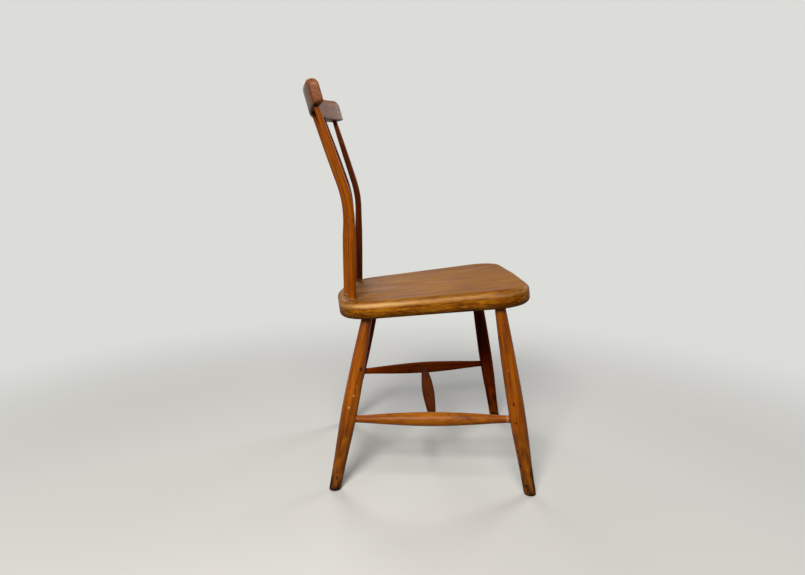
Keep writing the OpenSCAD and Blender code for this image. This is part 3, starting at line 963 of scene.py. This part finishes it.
def make_rail():
    bm = bmesh.new()
    index = bm.verts.layers.int.new("section_index")
    layers = mark_layers(bm)
    verts = []
    for k, (rho, z) in enumerate(SECTION):
        vert = bm.verts.new((0, rho, z))
        vert[index] = k
        verts.append(vert)
    first_loop = loop = closed_loop(bm, verts)
    for n, distance in enumerate(rail_stations()):
        if n:
            verts, loop = extrude_loop(bm, loop)
        x = distance - rail_half
        left = min(distance, 2 * rail_half - distance)
        low = corner_drop(left, RAIL_LOW_CORNER)
        high = RAIL_HEIGHT - corner_drop(left, RAIL_TOP_CORNER)
        draw = END_ROUND - math.sqrt(max(0.0, END_ROUND ** 2 - max(0.0, END_ROUND - left) ** 2))
        for vert in verts:
            rho, z = SECTION[vert[index]]
            # Keep the rounded upper edge's own size while the board gets lower
            if z > RAIL_HEIGHT - RAIL_FRONT_EDGE:
                z = high - (RAIL_HEIGHT - z)
            else:
                z = low + z * (high - RAIL_FRONT_EDGE - low) / (RAIL_HEIGHT - RAIL_FRONT_EDGE)
            middle = (low + high) / 2
            z = middle + (z - middle) * (1 - draw / ((high - low) / 2))
            rho = rho * (1 - draw / (RAIL_THICK / 2))
            vert[layers["wood"]] = (rho + 300, z + 700, x + 3000)
            y = math.sqrt((RAIL_CURVE + rho) ** 2 - x * x) - RAIL_CURVE
            vert.co = (x, y, z)
            vert[layers["worn"]] = 0.08 + 0.22 * max(0.0, (z - 30) / 24)
            # Painted shade along the lower edge of the rail
            vert[layers["dirt_and_shade"]] = 0.35 * max(0.0, 1 - z / 6)
    for end_loop in (first_loop, loop):
        bmesh.ops.poke(bm, faces=bmesh.ops.contextual_create(bm, geom=end_loop)["faces"])
    return bm, layers


def dress_rail(bm, layers):
    for vert in bm.verts:
        x, y, z = vert.co
        # The ends' middle vertices have no place in the wood yet
        if vert[layers["wood"]].length == 0:
            vert[layers["wood"]] = (300, z + 700, x + 3000)
        slow = noise.noise(Vector((x / 60, y / 40 + 4, z / 40)))
        vert.co += Vector((0, 0.30 * slow, 0.20 * slow - 0.15))
    move(bm, Matrix.Translation((0, rail_back, rail_low))
         @ Matrix.Rotation(-RAIL_TURN, 4, "Z") @ Matrix.Rotation(-RAIL_LEAN, 4, "X"))
    finish_piece(bm, "bent_crest_rail", "crest_rail", BOARD)


dress_rail(*make_rail())

# %% [markdown]
# ## Floor, world and lamps
# The chair stands on a plain pale floor that melts into the background. Two lamps
# stand high on the chair's right side, as a window and its bright frame would:
# the first gives the light and the shadow, and the tall narrow second one draws
# long highlights on the turned wood. A wide lamp behind the left side and one
# ahead of it fill the shade. The floor looks pale to the eye but bounces little,
# as a dull concrete floor does, so the far legs stay in the seat's shade.

# %% Floor
BACKGROUND, FLOOR_SEEN, FLOOR_BOUNCE = "#dcdcd8", "#cdccc8", "#5f5c55"
FADE_FROM, FADE_TO = 0.75, 1.8  # metres from the chair's middle


def background_rays(tree, path):
    # Rays that see the background's own colour: the camera's, mirrored and bent ones
    seen = add_node(tree, "ShaderNodeMath",
                    {0: path.outputs["Is Camera Ray"], 1: path.outputs["Is Glossy Ray"]},
                    operation="MAXIMUM")
    return add_node(tree, "ShaderNodeMath",
                    {0: seen.outputs[0], 1: path.outputs["Is Transmission Ray"]},
                    operation="MAXIMUM")


def pale_floor():
    # Smooth concrete: no gloss, one even tone that fades into the background
    material = bpy.data.materials.new("pale_floor")
    material.use_nodes = True
    tree = material.node_tree
    tree.nodes.clear()
    path = add_node(tree, "ShaderNodeLightPath")
    seen = background_rays(tree, path)
    tone = add_node(tree, "ShaderNodeMix", {"Factor": seen.outputs[0]},
                    {"A": linear(FLOOR_BOUNCE), "B": linear(FLOOR_SEEN)}, data_type="RGBA")
    paint = add_node(tree, "ShaderNodeBsdfDiffuse", {"Color": tone.outputs["Result"]})
    glow = add_node(tree, "ShaderNodeEmission", inputs={"Color": linear(BACKGROUND)})
    place = add_node(tree, "ShaderNodeTexCoord")
    reach = add_node(tree, "ShaderNodeVectorMath", {0: place.outputs["Object"]},
                     operation="LENGTH")
    fade = add_node(tree, "ShaderNodeMapRange", {"Value": reach.outputs["Value"]},
                    {"From Min": FADE_FROM, "From Max": FADE_TO},
                    interpolation_type="SMOOTHSTEP")
    amount = add_node(tree, "ShaderNodeMath",
                      {0: fade.outputs[0], 1: seen.outputs[0]}, operation="MULTIPLY")
    mixed = add_node(tree, "ShaderNodeMixShader",
                     {0: amount.outputs[0], 1: paint.outputs[0], 2: glow.outputs[0]})
    add_node(tree, "ShaderNodeOutputMaterial", {"Surface": mixed.outputs[0]})
    return material


floor_bm = bmesh.new()
bmesh.ops.create_grid(floor_bm, x_segments=4, y_segments=4, size=15)
floor_mesh = bpy.data.meshes.new("floor")
floor_bm.to_mesh(floor_mesh)
floor_bm.free()
floor = bpy.data.objects.new("floor", floor_mesh)
floor_mesh.materials.append(pale_floor())
bpy.context.scene.collection.objects.link(floor)
print("floor is", floor.dimensions.x, "m wide")

# %% World
world = bpy.data.worlds.new("pale_room")
bpy.context.scene.world = world
world.use_nodes = True
sky = world.node_tree
sky.nodes.clear()
sky_seen = background_rays(sky, add_node(sky, "ShaderNodeLightPath"))
room = add_node(sky, "ShaderNodeBackground",
                inputs={"Color": linear("#e6e8ec"), "Strength": 0.07})
backdrop = add_node(sky, "ShaderNodeBackground",
                    inputs={"Color": linear(BACKGROUND), "Strength": 1.0})
both = add_node(sky, "ShaderNodeMixShader",
                {0: sky_seen.outputs[0], 1: room.outputs[0], 2: backdrop.outputs[0]})
add_node(sky, "ShaderNodeOutputWorld", {"Surface": both.outputs[0]})
bpy.context.scene.view_settings.view_transform = "Standard"
print("the room's own light has a strength of", round(room.inputs["Strength"].default_value, 3))

# %% Lamps
LAMP_AIM = Vector((0, 0, 0.4))
WARM, COOL = "#fffcf6", "#fbfcff"


def soft_lamp(name, place, watts, width, height, colour):
    data = bpy.data.lights.new(name, "AREA")
    data.shape = "RECTANGLE"
    data.size, data.size_y = width, height
    data.energy = watts
    data.color = linear(colour)[:3]
    lamp = bpy.data.objects.new(name, data)
    bpy.context.scene.collection.objects.link(lamp)
    line = LAMP_AIM - Vector(place)
    lamp.matrix_world = (Matrix.Translation(place)
                         @ line.to_track_quat("-Z", "Y").to_matrix().to_4x4())
    print(name, "stands", round(line.length, 2), "m away")


soft_lamp("window_lamp", (-2.3, 0.7, 1.75), 60, 0.7, 0.7, WARM)
soft_lamp("tall_lamp", (-1.6, 0.12, 2.15), 26, 0.45, 1.2, WARM)
soft_lamp("far_lamp", (2.3, 0.9, 2.0), 36, 1.4, 1.4, COOL)
soft_lamp("front_lamp", (1.7, -2.1, 1.8), 34, 1.2, 1.2, COOL)

# %% [markdown]
# ## Triangles
# Each piece's box was measured against its CAD solid as the piece was finished.
# Here the triangle counts of all pieces are added up and printed.

# %% Add up the triangles
print("triangles in all:", sum(piece_triangles.values()))
